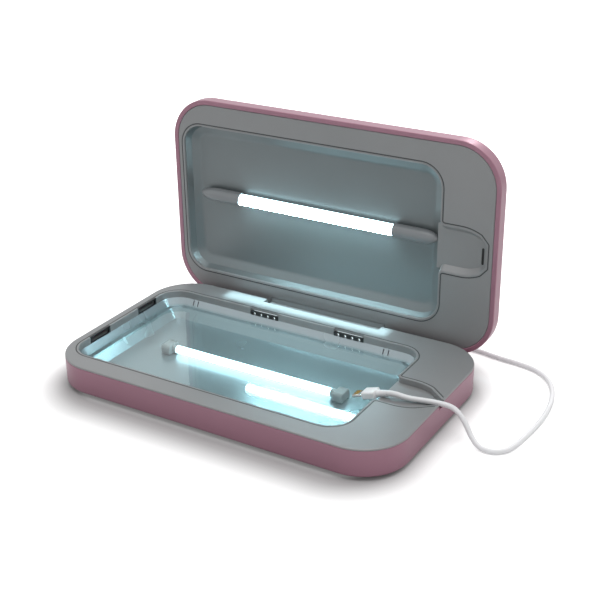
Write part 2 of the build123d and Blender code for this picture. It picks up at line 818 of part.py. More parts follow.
with BuildPart() as hinge_block:
    with BuildSketch(lid_side):
        with Locations((hinge_y, -face_reach)):
            Circle(barrel_radius)
        with BuildLine():
            Polyline(
                (hinge_y - neck_front, -face_reach),
                (hinge_y, -face_reach),
                (hinge_y, neck_start - face_reach),
                (hinge_y + neck_rear, neck_start - face_reach),
                (hinge_y + neck_rear, deck_recess),
                (rear_y, deck_recess),
                (rear_y, deck_recess + block_foot),
                (block_front - block_flange, deck_recess + block_foot),
                (block_front - block_flange, deck_under),
                (block_front, deck_under),
                (block_front, deck_recess),
                (hinge_y - neck_front, deck_recess),
                close=True,
            )
        make_face()
    extrude(amount=block_half, both=True)
    # blind bores for the pins
    with BuildSketch(Plane.YZ.offset(-block_half)):
        with Locations((centre_y + hinge_y, hinge_z)):
            Circle(pin_radius + running_clearance)
    extrude(amount=pin_length / 2 + block_end_gap, mode=Mode.SUBTRACT)
    with BuildSketch(Plane.YZ.offset(block_half)):
        with Locations((centre_y + hinge_y, hinge_z)):
            Circle(pin_radius + running_clearance)
    extrude(amount=-pin_length / 2 - block_end_gap, mode=Mode.SUBTRACT)
    # screw holes in the flange, with sunk heads that the lid's deck hides
    with BuildSketch(lid_plane(deck_under)):
        with Locations(*hinge_screw_places):
            Circle(hinge_screw_radius + running_clearance)
    extrude(amount=block_foot, mode=Mode.SUBTRACT)
    with BuildSketch(lid_plane(deck_under)):
        with Locations(*hinge_screw_places):
            Circle(hinge_screw_head + running_clearance)
    extrude(amount=hinge_screw_head_height, mode=Mode.SUBTRACT)
finish_piece(hinge_block, "hinge_block")

with BuildPart() as hinge_screws:
    with BuildSketch(lid_plane(deck_under + running_clearance)):
        with Locations(*hinge_screw_places):
            Circle(hinge_screw_head)
            RegularPolygon(hinge_screw_head / 2, 6, mode=Mode.SUBTRACT)
    extrude(amount=hinge_screw_head_height - running_clearance)
    with BuildSketch(lid_plane(deck_under + hinge_screw_head_height / 2)):
        with Locations(*hinge_screw_places):
            Circle(hinge_screw_radius)
    extrude(amount=hinge_screw_length)
finish_piece(hinge_screws, "hinge_screws")


# ======================= lid: casing =======================

with BuildPart() as lid_shell:
    with BuildSketch(lid_plane(0)):
        casing_outline()
    extrude(amount=lid_thickness)
    fillet(lid_shell.faces().sort_by(Axis.Y)[-1].edges(), lid_back_fillet)
    fillet(lid_shell.faces().sort_by(Axis.Y)[0].edges(), lid_rim_fillet)
    with BuildSketch(lid_plane(0)):
        casing_outline(lid_wall)
    extrude(amount=lid_thickness - lid_back, mode=Mode.SUBTRACT)
    with BuildSketch(lid_plane(0)):
        casing_outline(lid_wall - rim_chamfer)
    extrude(amount=rim_chamfer, taper=45, mode=Mode.SUBTRACT)
    # gap in the rim for the hinge block, and the bosses that its screws go into
    with BuildSketch(lid_plane(0)):
        with Locations((0, rear_y)):
            Rectangle(2 * notch_half, 4 * lid_wall)
    extrude(amount=deck_recess + block_foot, mode=Mode.SUBTRACT)
    with BuildSketch(lid_plane(deck_recess + block_foot)):
        with Locations(*hinge_screw_places):
            Circle(hinge_screw_radius + hinge_boss_wall)
    extrude(amount=lid_thickness - lid_back - deck_recess - block_foot)
    with BuildSketch(lid_plane(deck_recess + block_foot)):
        with Locations(*hinge_screw_places):
            Circle(hinge_screw_radius + running_clearance)
    extrude(amount=hinge_screw_length - hinge_screw_head_height, mode=Mode.SUBTRACT)
finish_piece(lid_shell, "lid_shell")


# ======================= lid: deck =======================

with BuildPart() as lid_deck:
    with BuildSketch(lid_plane(deck_recess)):
        casing_outline(lid_wall + lid_deck_gap)
        lid_opening.outline(mode=Mode.SUBTRACT)
        with Locations((0, block_front - lid_deck_gap)):
            Rectangle(
                2 * notch_half, width, align=(Align.CENTER, Align.MIN), mode=Mode.SUBTRACT
            )
    extrude(amount=lid_deck_plate)
    chamfer(lid_deck.faces().sort_by(Axis.Y)[0].outer_wire().edges(), deck_chamfer)
    # pan of the cable tongue
    with BuildSketch(lid_plane(deck_recess)):
        lid_opening.tongue()
        offset(amount=lid_tongue_floor)
        lid_opening.outline(mode=Mode.SUBTRACT)
    extrude(amount=lid_tongue_depth + lid_tongue_floor - deck_recess)
    with BuildSketch(lid_plane(deck_recess)):
        lid_opening.tongue()
    with BuildSketch(lid_plane(lid_tongue_depth)):
        lid_opening.tongue(lid_tongue_slope)
    loft(mode=Mode.SUBTRACT)
    # the tongue's floor reaches a little way over the recess
    with BuildSketch(lid_plane(lid_tongue_depth)):
        with Locations((lid_opening.right - lid_tongue_reach, 0)):
            Rectangle(
                lid_tongue_reach + lid_tongue_floor, 2 * tongue_half, align=(Align.MIN, Align.CENTER)
            )
    extrude(amount=lid_tongue_floor)
    # bright edge round the chamber, and the groove for the light seal
    with BuildSketch(lid_plane(deck_recess + lip_chamfer)):
        add(lid_chamber)
    extrude(amount=-lip_chamfer, taper=-45, mode=Mode.SUBTRACT)
    with BuildSketch(lid_plane(deck_recess)):
        seal_outline(lid_chamber, 0)
    extrude(amount=seal_depth, mode=Mode.SUBTRACT)
    # slot in the tongue's floor
    with BuildSketch(lid_plane(lid_tongue_depth)):
        with Locations((slot_x, slot_y)):
            SlotOverall(slot_length, slot_width, rotation=90)
    extrude(amount=lid_tongue_floor, mode=Mode.SUBTRACT)
finish_piece(lid_deck, "lid_deck")

with BuildPart() as cable_baffle:
    with BuildSketch(lid_plane(lid_tongue_depth + lid_tongue_floor - slot_height)):
        with Locations((slot_x, slot_y)):
            SlotOverall(
                slot_length - 2 * insert_clearance, slot_width - 2 * insert_clearance, rotation=90
            )
    extrude(amount=slot_height)
finish_piece(cable_baffle, "cable_baffle")

with BuildPart() as lid_light_seal:
    with BuildSketch(lid_plane(deck_recess + seal_clearance)):
        seal_outline(lid_chamber, seal_clearance)
    extrude(amount=seal_depth - seal_clearance)
finish_piece(lid_light_seal, "lid_light_seal")


# ======================= lid: reflector =======================

reflector_top = deck_recess + lid_deck_plate
# depth and inset of the recess's wall at its top, its crease and its foot
wall_sections = (
    (reflector_top, 0),
    (lid_crease_depth, lid_crease_inset),
    (lid_recess_depth, lid_floor_inset),
)

with BuildPart() as lid_recess:
    for upper, lower in zip(wall_sections, wall_sections[1:]):
        for depth, inset in (upper, lower):
            with BuildSketch(lid_plane(depth)):
                lid_opening.outline(inset)
        loft()
    fillet(lid_recess.faces().sort_by(Axis.Y)[-1].edges(), lid_cove)

with BuildPart() as lid_reflector:
    with BuildSketch(lid_plane(reflector_top)):
        lid_opening.outline(-flange)
    extrude(amount=sheet)
    for upper, lower in zip(wall_sections, wall_sections[1:]):
        for depth, inset in (upper, lower):
            with BuildSketch(lid_plane(depth + (sheet if inset == lid_floor_inset else 0))):
                lid_opening.outline(inset - sheet)
        loft()
    add(lid_recess.part, mode=Mode.SUBTRACT)
    # room for the pan of the cable tongue
    with BuildSketch(lid_plane(reflector_top)):
        lid_opening.tongue()
        offset(amount=lid_tongue_floor + lid_deck_gap)
        with Locations((lid_opening.right - lid_tongue_reach - lid_deck_gap, 0)):
            Rectangle(
                2 * lid_tongue_reach,
                2 * (tongue_half + lid_deck_gap),
                align=(Align.MIN, Align.CENTER),
            )
    extrude(amount=lid_tongue_depth + lid_tongue_floor + lid_deck_gap - reflector_top, mode=Mode.SUBTRACT)
finish_piece(lid_reflector, "lid_reflector")


# ======================= lid: lamp =======================

lid_lamp_axis = Axis(lid_plane(lid_lamp_depth).from_local_coords((0, lid_lamp_y, 0)), (1, 0, 0))

with BuildPart() as lid_lamp:
    with BuildSketch(lid_plane(lid_lamp_depth)):
        with Locations((lamp_middle, lid_lamp_y)):
            Rectangle(
                lamp_length + 2 * lamp_seat, lid_lamp_radius, align=(Align.CENTER, Align.MIN)
            )
    revolve(axis=lid_lamp_axis)
    fillet(lid_lamp.edges().filter_by(GeomType.CIRCLE), lid_lamp_radius / 3)
finish_piece(lid_lamp, "lid_lamp")


with BuildPart() as recess_wall:
    with BuildSketch(lid_plane(reflector_top)):
        casing_outline()
    extrude(amount=lid_thickness)
    add(lid_recess.part, mode=Mode.SUBTRACT)


def lamp_cover(open_x, outwards, straight, reach):
    """Bullet-shaped cover over one end of the lid's lamp, trimmed where it sits on the recess."""
    shoulder = open_x + outwards * straight
    nose_start = 0 if outwards > 0 else 90
    with BuildPart() as cover:
        with BuildSketch(lid_plane(lid_lamp_depth)):
            with BuildLine():
                Line((open_x, lid_lamp_y + cover_radius), (shoulder, lid_lamp_y + cover_radius))
                EllipticalCenterArc(
                    (shoulder, lid_lamp_y),
                    reach - straight,
                    cover_radius,
                    start_angle=nose_start,
                    arc_size=90,
                )
                Polyline(
                    (open_x + outwards * reach, lid_lamp_y),
                    (open_x, lid_lamp_y),
                    (open_x, lid_lamp_y + cover_radius),
                )
            make_face()
        revolve(axis=lid_lamp_axis)
        add(recess_wall.part, mode=Mode.SUBTRACT)
        with BuildSketch(Plane.YZ.offset(open_x)):
            with Locations((lid_lamp_axis.position.Y, lid_lamp_axis.position.Z)):
                Circle(lid_lamp_radius + lamp_clearance)
        extrude(amount=outwards * (lamp_seat + lamp_clearance), mode=Mode.SUBTRACT)
    return cover


finish_piece(lamp_cover(lamp_left, -1, cover_left_straight, cover_left_length), "lamp_cover_left")
finish_piece(lamp_cover(lamp_right, 1, cover_right_straight, cover_right_length), "lamp_cover_right")

with BuildPart() as lid_magnet:
    with BuildSketch(lid_plane(reflector_top)):
        with Locations(magnet_place):
            Circle(magnet_radius)
    extrude(amount=magnet_height)
finish_piece(lid_magnet, "lid_magnet")


# ======================= charging lead =======================

plug_start = centre_y + rear_y + plug_gap
plug_end = plug_start + plug_body[1]
table_z = cord_radius + table_gap
coil_top_z = table_z + (coil_layers - 1) * turn_pitch
outer_turn = coil_radius + turn_pitch * (coil_turns - 1) / 2
coil_y = plug_start + coil_setback

# the plug's end of the lead, from its strain relief to the top layer of the coil
rear_lead_points = [
    (usb_x, plug_end + relief_length, port_z),
    (usb_x, 98.0, port_z),
    (60.2, 108.4, 6.4),
    (53.4, 117.4, 5.0),
    (43.0, 122.8, coil_top_z),
    (32.0, coil_y + outer_turn, coil_top_z),
]


def cord_tube(points):
    """Tube along straight runs joined by tangent arcs, as large as the runs allow."""
    corners = [Vector(*point) for point in points]
    radii = []
    for before, corner, after in zip(corners, corners[1:], corners[2:]):
        run_in = corner - before
        run_out = after - corner
        half_turn = math.radians(run_in.get_angle(run_out)) / 2
        radii.append(0.45 * min(run_in.length, run_out.length) / math.tan(half_turn))
    with BuildPart() as tube:
        with BuildLine() as path:
            FilletPolyline(*corners, radius=radii)
        with BuildSketch(Plane(origin=path.line @ 0, z_dir=path.line % 0)):
            Circle(cord_radius)
        sweep()
    print("cord radii", [round(radius, 1) for radius in radii])
    print("cord length", round(path.wires()[0].length, 1))
    return tube


with BuildPart() as usb_plug_nose:
    with BuildSketch(rear_plane(rear_y + plug_gap, port_z)):
        with Locations((-usb_x, 0)):
            Rectangle(plug_nose[0], plug_nose[2])
    extrude(amount=-plug_nose[1] - 2 * plug_gap)
finish_piece(usb_plug_nose, "usb_plug_nose")

with BuildPart() as usb_plug:
    with BuildSketch(rear_plane(rear_y + plug_gap, port_z)):
        with Locations((-usb_x, 0)):
            RectangleRounded(plug_body[0], plug_body[2], plug_fillet)
    extrude(amount=plug_body[1])
    fillet(usb_plug.faces().sort_by(Axis.Y)[-1].edges(), plug_fillet / 2)
finish_piece(usb_plug, "usb_plug")

with BuildPart() as plug_relief:
    with BuildSketch(Plane(origin=(usb_x, plug_end, port_z), z_dir=(0, 1, 0))):
        Circle(relief_start_radius)
    with BuildSketch(Plane(origin=(usb_x, plug_end + relief_length, port_z), z_dir=(0, 1, 0))):
        Circle(relief_end_radius)
    loft()
finish_piece(plug_relief, "plug_relief")

finish_piece(cord_tube(rear_lead_points), "cord_rear")

with BuildPart() as cord_coil:
    with BuildSketch(Plane.XY.offset(table_gap)):
        with Locations((coil_x, coil_y)):
            Circle(outer_turn + cord_radius)
            Circle(2 * coil_radius - outer_turn - cord_radius, mode=Mode.SUBTRACT)
    extrude(amount=coil_top_z + cord_radius - table_gap)
    chamfer(cord_coil.edges().filter_by(GeomType.CIRCLE), cord_radius / 2)
finish_piece(cord_coil, "cord_coil")

# the connector leans on the edge of the tongue's floor, its tip on the glass plate
tilt = math.radians(connector_tilt)
connector_line = Vector(math.cos(tilt), 0, math.sin(tilt))
tip_end = Vector(
    base_opening.right - connector_reach, centre_y - connector_offset, plate_top_z + connector_rest
)
body_start = tip_end + connector_line * tip_size[0]
body_end = body_start + connector_line * connector_size[0]
boot_end = body_end + connector_line * boot_length


def connector_plane(origin):
    """Plane across the connector, which faces along it towards the lead."""
    return Plane(origin=origin, x_dir=(0, 1, 0), z_dir=connector_line)


with BuildPart() as connector_tip:
    with BuildSketch(connector_plane(tip_end)):
        RectangleRounded(tip_size[1], tip_size[2], tip_size[2] * 0.45)
    extrude(amount=tip_size[0])
finish_piece(connector_tip, "connector_tip")

with BuildPart() as connector:
    with BuildSketch(connector_plane(body_start)):
        RectangleRounded(connector_size[1], connector_size[2], connector_fillet)
    extrude(amount=connector_size[0])
finish_piece(connector, "connector")

with BuildPart() as connector_boot:
    with BuildSketch(connector_plane(body_end)):
        Circle(boot_start_radius)
    with BuildSketch(connector_plane(boot_end)):
        Circle(boot_end_radius)
    loft()
finish_piece(connector_boot, "connector_boot")

# the phone's end of the lead, from the connector's boot out over the cable outlet,
# down to the table and round behind the box to the bottom layer of the coil
front_lead_points = [
    (boot_end.X, boot_end.Y, boot_end.Z),
    (83.6, -11.6, 19.4),
    (91.5, -10.2, 17.6),
    (100.5, -7.2, 17.2),
    (109.0, -5.9, 17.3),
    (116.4, -5.5, 16.9),
    (122.2, -6.6, 13.4),
    (126.6, -8.6, 8.6),
    (130.6, -11.2, 4.4),
    (136.2, -13.9, 1.8),
    (143.0, -14.0, table_z),
    (148.8, -9.9, table_z),
    (151.2, -3.2, table_z),
    (152.8, 9.4, table_z),
    (154.2, 26.0, table_z),
    (153.4, 43.6, table_z),
    (149.8, 60.2, table_z),
    (142.8, 74.2, table_z),
    (132.0, 82.6, table_z),
    (119.5, 85.4, table_z),
    (105.0, 86.4, table_z),
    (90.5, 89.6, table_z),
    (74.0, 89.0, table_z),
    (58.0, 86.4, table_z),
    (44.0, 84.6, table_z),
    (32.0, coil_y - outer_turn, table_z),
]
finish_piece(cord_tube(front_lead_points), "cord_front")
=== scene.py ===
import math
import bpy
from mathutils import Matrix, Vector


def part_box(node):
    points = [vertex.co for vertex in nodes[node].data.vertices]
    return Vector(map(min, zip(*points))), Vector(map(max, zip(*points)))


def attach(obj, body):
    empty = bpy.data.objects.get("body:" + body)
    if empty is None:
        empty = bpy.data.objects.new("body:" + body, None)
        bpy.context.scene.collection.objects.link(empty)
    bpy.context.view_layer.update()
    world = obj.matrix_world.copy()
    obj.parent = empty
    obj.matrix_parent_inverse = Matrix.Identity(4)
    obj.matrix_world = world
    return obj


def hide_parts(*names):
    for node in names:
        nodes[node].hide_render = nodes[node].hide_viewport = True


bl_info = {
    "name": "Phone Sanitiser Box",
    "version": (1, 0, 0),
    "blender": (4, 5, 0),
    "location": "View3D > Sidebar > Sanitiser",
    "description": "Finishes, lamps, charging lead and stage for a hinged phone sanitiser box",
    "category": "Object",
}

import bmesh
import bpy
from bpy.props import FloatProperty, FloatVectorProperty, IntProperty, PointerProperty
from bpy.types import Operator, Panel, PropertyGroup
from mathutils import Matrix, Vector

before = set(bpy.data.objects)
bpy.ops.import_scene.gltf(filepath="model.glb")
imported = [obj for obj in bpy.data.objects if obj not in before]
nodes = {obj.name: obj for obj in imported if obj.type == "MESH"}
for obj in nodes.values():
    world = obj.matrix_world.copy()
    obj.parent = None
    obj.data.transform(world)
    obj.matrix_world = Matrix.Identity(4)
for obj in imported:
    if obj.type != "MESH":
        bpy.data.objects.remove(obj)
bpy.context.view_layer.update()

MM = 0.001


def screen(red, green, blue):
    """A screen colour, 0 to 255, as the linear colour that shaders work in."""
    return tuple((value / 255) ** 2.2 for value in (red, green, blue))


def middle(node):
    """Middle of a CAD node's box."""
    low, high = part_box(node)
    return (low + high) / 2


# ---------------------------------------------------------------- shader expressions


class Value:
    """A number or colour socket that takes part in Python expressions."""

    def __init__(self, finish, socket):
        self.finish = finish
        self.socket = socket

    def math(self, operation, first, second=0.0):
        inputs = {0: first, 1: second}
        return self.finish.node("ShaderNodeMath", {"operation": operation}, inputs)

    def compared(self, operation, other=0.0):
        """The value in a maths operation that Python has no sign for."""
        return self.math(operation, self, other)

    def __add__(self, other):
        return self.math("ADD", self, other)

    def __radd__(self, other):
        return self.math("ADD", other, self)

    def __sub__(self, other):
        return self.math("SUBTRACT", self, other)

    def __rsub__(self, other):
        return self.math("SUBTRACT", other, self)

    def __mul__(self, other):
        return self.math("MULTIPLY", self, other)

    def __truediv__(self, other):
        return self.math("DIVIDE", self, other)

    def __pow__(self, other):
        return self.math("POWER", self, other)


class Finish:
    """The node tree of a material or a world, built from expressions."""

    def __init__(self, tree):
        self.tree = tree
        tree.nodes.clear()

    def node(self, kind, settings=None, inputs=None, output=0):
        """Adds a node, sets it up, feeds its sockets and gives one output as a Value."""
        node = self.tree.nodes.new(kind)
        for name, value in (settings or {}).items():
            if name == "stops":
                self.set_stops(node.color_ramp.elements, value)
            else:
                setattr(node, name, value)
        for key, value in (inputs or {}).items():
            socket = node.inputs[key]
            if isinstance(value, Value):
                self.tree.links.new(value.socket, socket)
            elif socket.type == "RGBA" and len(value) == 3:
                socket.default_value = (*value, 1)
            else:
                socket.default_value = value
        if len(node.outputs) == 0:
            return None
        return Value(self, node.outputs[output])

    @staticmethod
    def set_stops(elements, stops):
        while len(elements) < len(stops):
            elements.new(1)
        for element, (place, colour) in zip(elements, stops):
            element.position = place
            element.color = (*colour, 1)

    def place(self):
        """Object coordinates, in metres."""
        return self.node("ShaderNodeTexCoord", output="Object")

    def noise(self, size, detail=2.0, stretch=(1, 1, 1)):
        """Noise from 0 to 1, in lumps about size metres across, stretched along an axis."""
        mapped = self.node("ShaderNodeMapping", None, {"Vector": self.place(), "Scale": stretch})
        inputs = {"Vector": mapped, "Scale": 1 / size, "Detail": detail}
        return self.node("ShaderNodeTexNoise", None, inputs)

    def axis(self, name):
        """One object coordinate, in metres."""
        return self.node("ShaderNodeSeparateXYZ", None, {0: self.place()}, output=name)

    def past(self, name, place):
        """1 where an object coordinate is past a place, else 0."""
        return self.axis(name).compared("GREATER_THAN", place)

    def ramp(self, value, stops):
        """Colour for a value from 0 to 1."""
        return self.node("ShaderNodeValToRGB", {"stops": stops}, {0: value})

    def mix(self, factor, first, second):
        """Colour between two colours."""
        inputs = {0: factor, 6: first, 7: second}
        return self.node("ShaderNodeMix", {"data_type": "RGBA"}, inputs, output=2)

    def bump(self, height, depth):
        """Normal for a height from 0 to 1 that stands depth metres high."""
        inputs = {"Height": height, "Distance": depth, "Strength": 1.0}
        return self.node("ShaderNodeBump", None, inputs)

    def close(self, shader, kind="ShaderNodeOutputMaterial"):
        """Links the last shader to the output."""
        self.node(kind, None, {"Surface": shader})


def new_finish(name):
    """An empty material and the tree that fills it."""
    made = bpy.data.materials.new(name)
    made.use_nodes = True
    return made, Finish(made.node_tree)


def principled(finish, **inputs):
    """Principled shader whose sockets are named in words joined by underscores."""
    spelled = {key.replace("_", " "): value for key, value in inputs.items()}
    return finish.node("ShaderNodeBsdfPrincipled", None, spelled)


# ---------------------------------------------------------------- finishes


def moulded(name, colour, roughness, grain=0.12 * MM, depth=0.004 * MM, metallic=0.0, coat=0.0):
    """Moulded plastic or rubber: fine grain, slight cloudiness in colour and in gloss."""
    made, finish = new_finish(name)
    cloud = finish.noise(22 * MM, 3)
    pores = finish.noise(grain, 2)
    shade = finish.mix(cloud, [part * 0.95 for part in colour], [part * 1.05 for part in colour])
    finish.close(principled(
        finish,
        Base_Color=shade,
        Metallic=metallic,
        Roughness=roughness - 0.04 + cloud * 0.05 + pores * 0.03,
        Coat_Weight=coat,
        Coat_Roughness=0.3,
        Normal=finish.bump(pores, depth),
    ))
    return made


def casing_paint(colour):
    """Metallic satin paint: tiny flakes under a thin clear coat."""
    made, finish = new_finish("casing_paint")
    flakes = finish.noise(0.09 * MM, 1)
    cloud = finish.noise(35 * MM, 2)
    dark = [part * 0.90 for part in colour]
    pale = [part * 1.10 for part in colour]
    finish.close(principled(
        finish,
        Base_Color=finish.mix(flakes * 0.7 + cloud * 0.3, dark, pale),
        Metallic=0.35,
        Roughness=0.40 + flakes * 0.05,
        Coat_Weight=0.35,
        Coat_Roughness=0.2,
        Normal=finish.bump(flakes, 0.003 * MM),
    ))
    return made


def reflector_satin(name, colour, metallic, roughness, glow=(0, 0, 0), painted_glow_past=(1, 1)):
    """Satin drawn sheet that spreads the lamps' light, and glows with painted light where it lies past a Y
    and a Z, though it is no lamp.
    """
    made, finish = new_finish(name)
    cloud = finish.noise(40 * MM, 2)
    shade = finish.mix(cloud, [part * 0.93 for part in colour], [part * 1.04 for part in colour])
    # Painted light: past these places the sheet glows, in place of lamp light that falls there.
    behind = finish.past("Y", painted_glow_past[0])
    above = finish.past("Z", painted_glow_past[1])
    finish.close(principled(
        finish,
        Base_Color=shade,
        Metallic=metallic,
        Roughness=roughness + cloud * 0.08,
        Emission_Color=finish.mix(behind * above, (0, 0, 0), glow),
        Emission_Strength=1.0,
    ))
    return made


def lamp_light(name, colour, strength, low, high, backwards=1.0, downwards=1.0):
    """Lit lamp, weaker where its electrodes are, with other shares to its back and aslant down."""
    made, finish = new_finish(name)
    along = finish.axis("X")
    reach = 9 * MM
    from_left = (along - low.x) / reach
    from_right = (high.x - along) / reach
    nearer = from_left.compared("MINIMUM", from_right)
    glow = finish.ramp(nearer, [(0.0, [part * 0.45 for part in colour]), (1.0, colour)])
    depth = (finish.axis("Y") - low.y) / (high.y - low.y)
    height = (finish.axis("Z") - low.z) / (high.z - low.z)
    side = finish.ramp(depth, [(0.5, (1, 1, 1)), (0.62, [backwards] * 3)])
    sector = finish.ramp((depth + height) / 2, [(0.17, (1, 1, 1)), (0.24, [1 / downwards] * 3)])
    glow = finish.mix(side, (0, 0, 0), finish.mix(sector, (0, 0, 0), glow))
    finish.close(principled(
        finish,
        Base_Color=(0.85, 0.88, 0.90),
        Roughness=0.12,
        Emission_Color=glow,
        Emission_Strength=strength * downwards,
    ))
    return made


def bed_glass(colour):
    """Clear plate: a weak mirror over a see-through body, with faint wiping marks."""
    made, finish = new_finish("bed_glass")
    marks = finish.noise(14 * MM, 4, stretch=(1, 0.4, 1))
    clear = finish.node("ShaderNodeBsdfTransparent", None, {"Color": colour})
    haze = 0.03 + marks * 0.03
    gloss = finish.node("ShaderNodeBsdfGlossy", None, {"Color": (1, 1, 1), "Roughness": haze})
    edge = finish.node("ShaderNodeFresnel", None, {"IOR": 1.5})
    leaving = finish.node("ShaderNodeNewGeometry", output="Backfacing")
    mirrored = edge * (1 - leaving)
    finish.close(finish.node("ShaderNodeMixShader", None, {0: mirrored, 1: clear, 2: gloss}))
    return made


def plated(name, colour, roughness, brushing=0.4 * MM, metallic=1.0):
    """Plated or turned metal with fine brushing."""
    made, finish = new_finish(name)
    lines = finish.noise(brushing, 2, stretch=(1, 0.15, 1))
    finish.close(principled(
        finish,
        Base_Color=finish.mix(lines, [part * 0.9 for part in colour], colour),
        Metallic=metallic,
        Roughness=roughness - 0.05 + lines * 0.1,
        Normal=finish.bump(lines, 0.003 * MM),
    ))
    return made


def circuit_board(colour):
    """Lacquered board with a faint pattern of tracks."""
    made, finish = new_finish("circuit_board")
    tracks = finish.node("ShaderNodeTexBrick", {"offset": 0.37, "squash": 0.7}, {
        "Vector": finish.place(), "Scale": 260.0, "Mortar Size": 0.12,
        "Color1": colour, "Color2": [part * 0.8 for part in colour],
        "Mortar": [part * 1.8 for part in colour],
    })
    finish.close(principled(finish, Base_Color=tracks, Roughness=0.3 + finish.noise(2 * MM) * 0.1))
    return made


def give(finish, *names):
    """Puts a finish on CAD nodes."""
    for name in names:
        nodes[name].material_slots[0].material = finish


# ---------------------------------------------------------------- modelling helpers


def only(piece):
    """Makes one object the selected and active one."""
    bpy.ops.object.select_all(action="DESELECT")
    piece.select_set(True)
    bpy.context.view_layer.objects.active = piece


def added(primitive, name, **options):
    """A new primitive, selected alone and named."""
    bpy.ops.object.select_all(action="DESELECT")
    primitive(**options)
    piece = bpy.context.object
    piece.name = name
    piece.data.name = name
    return piece


class Shaping:
    """Edit mode on one piece, where edges, faces or vertices are chosen by a test."""

    def __init__(self, piece):
        self.piece = piece

    def __enter__(self):
        only(self.piece)
        bpy.ops.object.mode_set(mode="EDIT")
        return self

    def __exit__(self, *_):
        bpy.ops.mesh.select_mode(type="VERT")
        bpy.ops.mesh.select_all(action="SELECT")
        bpy.ops.mesh.normals_make_consistent(inside=False)
        bpy.ops.object.mode_set(mode="OBJECT")

    def choose(self, kind, test):
        """Selects the verts, edges or faces that pass a test and nothing else."""
        bpy.ops.mesh.select_mode(type={"verts": "VERT", "edges": "EDGE", "faces": "FACE"}[kind])
        bpy.ops.mesh.select_all(action="DESELECT")
        mesh = bmesh.from_edit_mesh(self.piece.data)
        for element in getattr(mesh, kind):
            element.select_set(test(element))
        mesh.select_flush_mode()
        bmesh.update_edit_mesh(self.piece.data)


def runs_along(edge, axis):
    """Whether an edge is parallel to an axis, 0 to 2."""
    way = (edge.verts[1].co - edge.verts[0].co).normalized()
    return abs(way[axis]) > 0.99


def rises(edge):
    """Whether an edge of a cylinder or cone runs between its ends."""
    return abs(edge.verts[0].co.z - edge.verts[1].co.z) > 1 * MM


def turned(piece, centre, tilt=0.0, axis="Y"):
    """Moves a finished piece, which was made about the origin, to its place."""
    piece.data.transform(Matrix.Translation(centre) @ Matrix.Rotation(tilt, 4, axis))


def fitted(piece, body, slot, finish, *stood_for):
    """Fixes a finished piece to its body, at the origin with its place in its mesh."""
    only(piece)
    bpy.ops.object.transform_apply(location=True, rotation=True, scale=True)
    piece.data.materials.clear()
    piece.data.materials.append(finish)
    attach(piece, body)
    if stood_for:
        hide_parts(*stood_for)
    return piece


def smooth(piece, degrees=35):
    only(piece)
    bpy.ops.object.shade_smooth_by_angle(angle=math.radians(degrees))


def soft_block(name, size, long_edge, end_edge, along=0):
    """Block about the origin with round long edges and slightly eased ends, sizes in mm."""
    block = added(bpy.ops.mesh.primitive_cube_add, name, size=1)
    with Shaping(block) as shaping:
        bpy.ops.transform.resize(value=[part * MM for part in size])
        shaping.choose("edges", lambda edge: runs_along(edge, along))
        bpy.ops.mesh.bevel(offset=long_edge * MM, segments=6, profile=0.5)
        reach = size[along] * MM / 2
        shaping.choose("edges", lambda edge: all(
            abs(abs(vert.co[along]) - reach) < 1e-6 for vert in edge.verts
        ))
        bpy.ops.mesh.bevel(offset=end_edge * MM, segments=3, profile=0.5)
    smooth(block)
    return block


# ---------------------------------------------------------------- sizes and colours


class SANITISER_PG_casing(PropertyGroup):
    """Colours of the casings, decks and chambers."""

    paint: FloatVectorProperty(
        name="Casing paint", description="Metallic paint of both casings",
        subtype="COLOR", size=3, min=0, max=1, default=screen(153, 110, 126),
    )
    deck: FloatVectorProperty(
        name="Deck", description="Grey of the base and lid decks",
        subtype="COLOR", size=3, min=0, max=1, default=screen(138, 139, 140),
    )
    cover: FloatVectorProperty(
        name="Lamp covers", description="Grey of the covers over the lid lamp's ends",
        subtype="COLOR", size=3, min=0, max=1, default=screen(124, 128, 131),
    )
    tray: FloatVectorProperty(
        name="Tray", description="Satin sheet of the base's tray",
        subtype="COLOR", size=3, min=0, max=1, default=screen(160, 172, 177),
    )
    recess: FloatVectorProperty(
        name="Recess", description="Satin sheet of the lid's recess",
        subtype="COLOR", size=3, min=0, max=1, default=screen(118, 125, 127),
    )
    seal: FloatVectorProperty(
        name="Light seals", description="Rubber seals round both chambers",
        subtype="COLOR", size=3, min=0, max=1, default=screen(70, 72, 74),
    )


class SANITISER_PG_lamps(PropertyGroup):
    """Light of the two lamps."""

    light: FloatVectorProperty(
        name="Lamp light", description="Colour of the lamps' light",
        subtype="COLOR", size=3, min=0, max=1, default=(0.62, 0.93, 1.0),
    )
    strength: FloatProperty(
        name="Lid lamp", description="How bright the lid's lamp glows",
        min=0, max=50, default=8.0,
    )
    backwards: FloatProperty(
        name="Towards the recess", description="Share of the lid lamp's light on the side of its recess",
        subtype="FACTOR", min=0, max=1, default=0.045,
    )
    downwards: FloatProperty(
        name="Towards the hinge", description="How much more light the lid's lamp sheds aslant down",
        min=1, max=50, default=5.0,
    )
    base_strength: FloatProperty(
        name="Base lamp", description="How bright the lamp under the glass glows",
        min=0, max=50, default=4.0,
    )
    spill_power: FloatProperty(
        name="Spill", description="Power of the lid lamp's light on the rear of the base, in watts",
        min=0, max=10, default=0.015,
    )


